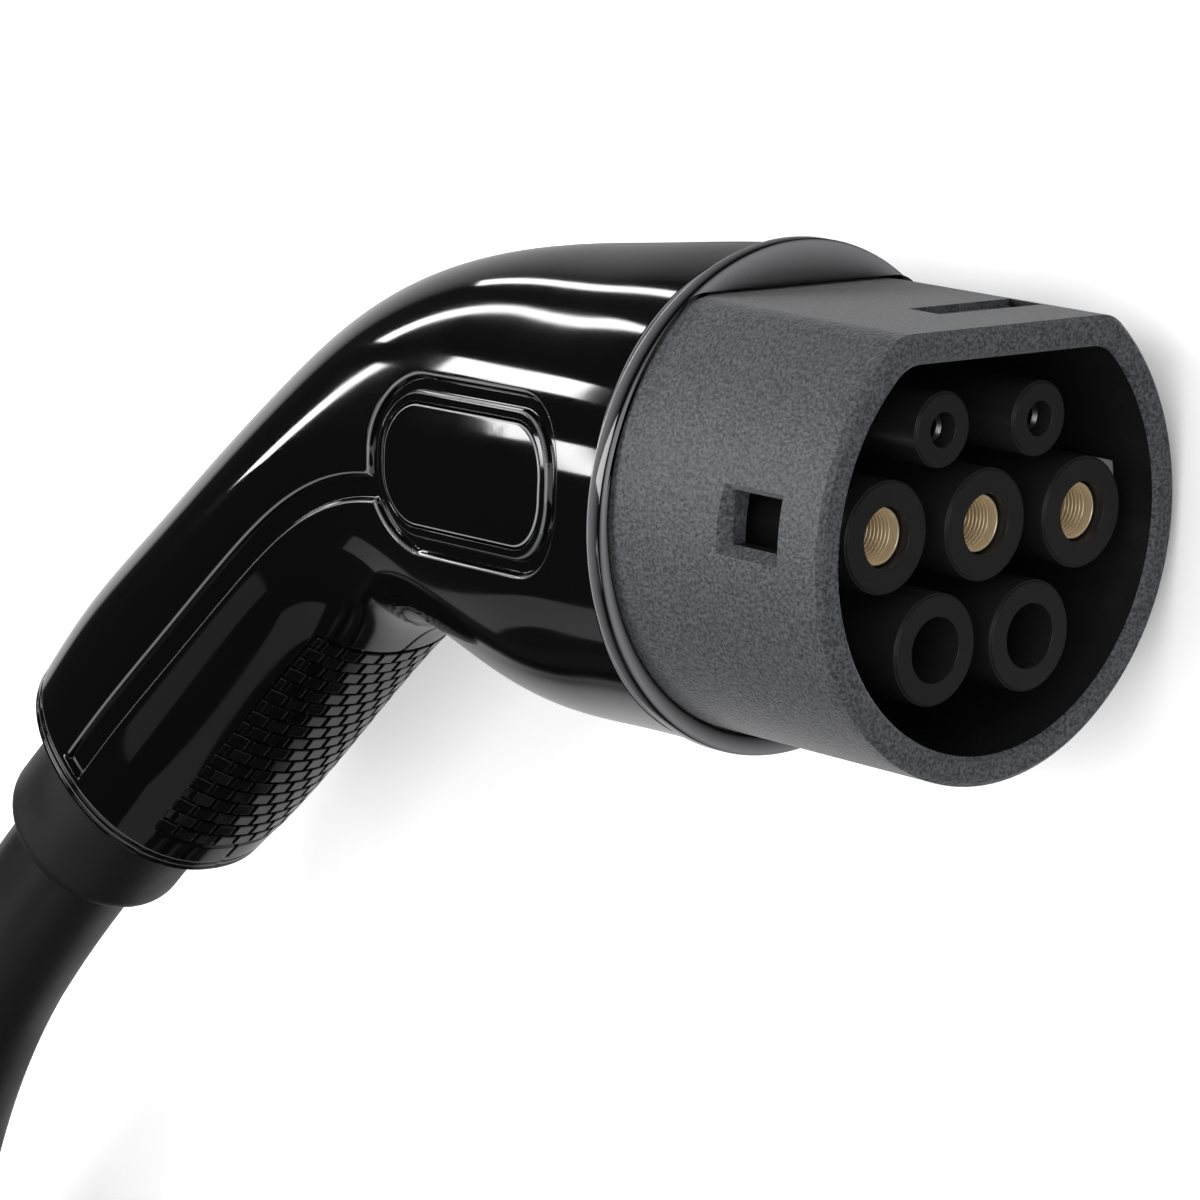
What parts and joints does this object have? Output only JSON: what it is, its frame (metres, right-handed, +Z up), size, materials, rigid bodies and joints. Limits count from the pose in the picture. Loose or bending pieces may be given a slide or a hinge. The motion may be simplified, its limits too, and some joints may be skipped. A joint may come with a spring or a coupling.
{
  "type": "electric vehicle charging connector on its cable",
  "caption": "Hand-held charging connector with a round contact face, D-shaped shroud, bent glossy handle and a thick cable put away in a coil.",
  "frame": {"origin": "on the floor, under the middle of the connector's bounding box", "axes": "+X out of the coupling face, +Y towards the flat of the shroud, +Z up from the floor, square to the connector's middle plane"},
  "size_m": [0.446, 0.5056, 0.073],
  "materials": {
    "grey_moulding": "matt",
    "insert_moulding": "satin",
    "gloss_black": "high gloss",
    "contact_brass": "turned",
    "zinc_steel": "zinc plated",
    "core_blue": "satin",
    "core_green": "satin",
    "core_brown": "satin",
    "core_white": "satin",
    "core_black": "satin",
    "resistor_body": "satin",
    "black_rubber": "satin",
    "cable_jacket": "satin",
    "clamp_plastic": "satin",
    "tie_fabric": "woven",
    "plug_plastic": "satin"
  },
  "bodies": {
    "root": {"shroud": "grey_moulding", "contact_insert": "insert_moulding", "contact_plate": "insert_moulding", "plate_screws": "zinc_steel", "neutral_contact": "contact_brass", "earth_contact": "contact_brass", "line_contact": "contact_brass", "proximity_contact": "contact_brass", "pilot_contact": "contact_brass", "neutral_core": "core_blue", "earth_core": "core_green", "line_core": "core_brown", "proximity_core": "core_white", "pilot_core": "core_black", "coding_resistor": "resistor_body", "left_shell": "gloss_black", "right_shell": "gloss_black", "left_inlay": "gloss_black", "right_inlay": "gloss_black", "housing_screws": "zinc_steel", "collar": "black_rubber", "cable_tail": "cable_jacket", "clamp_top": "clamp_plastic", "clamp_bottom": "clamp_plastic", "clamp_screws": "zinc_steel", "cable": "cable_jacket", "cable_coil": "cable_jacket", "coil_ties": "tie_fabric", "cable_lead": "cable_jacket", "plug_gland": "clamp_plastic", "plug_body": "plug_plastic", "plug_pins": "contact_brass"}
  },
  "joints": []
}
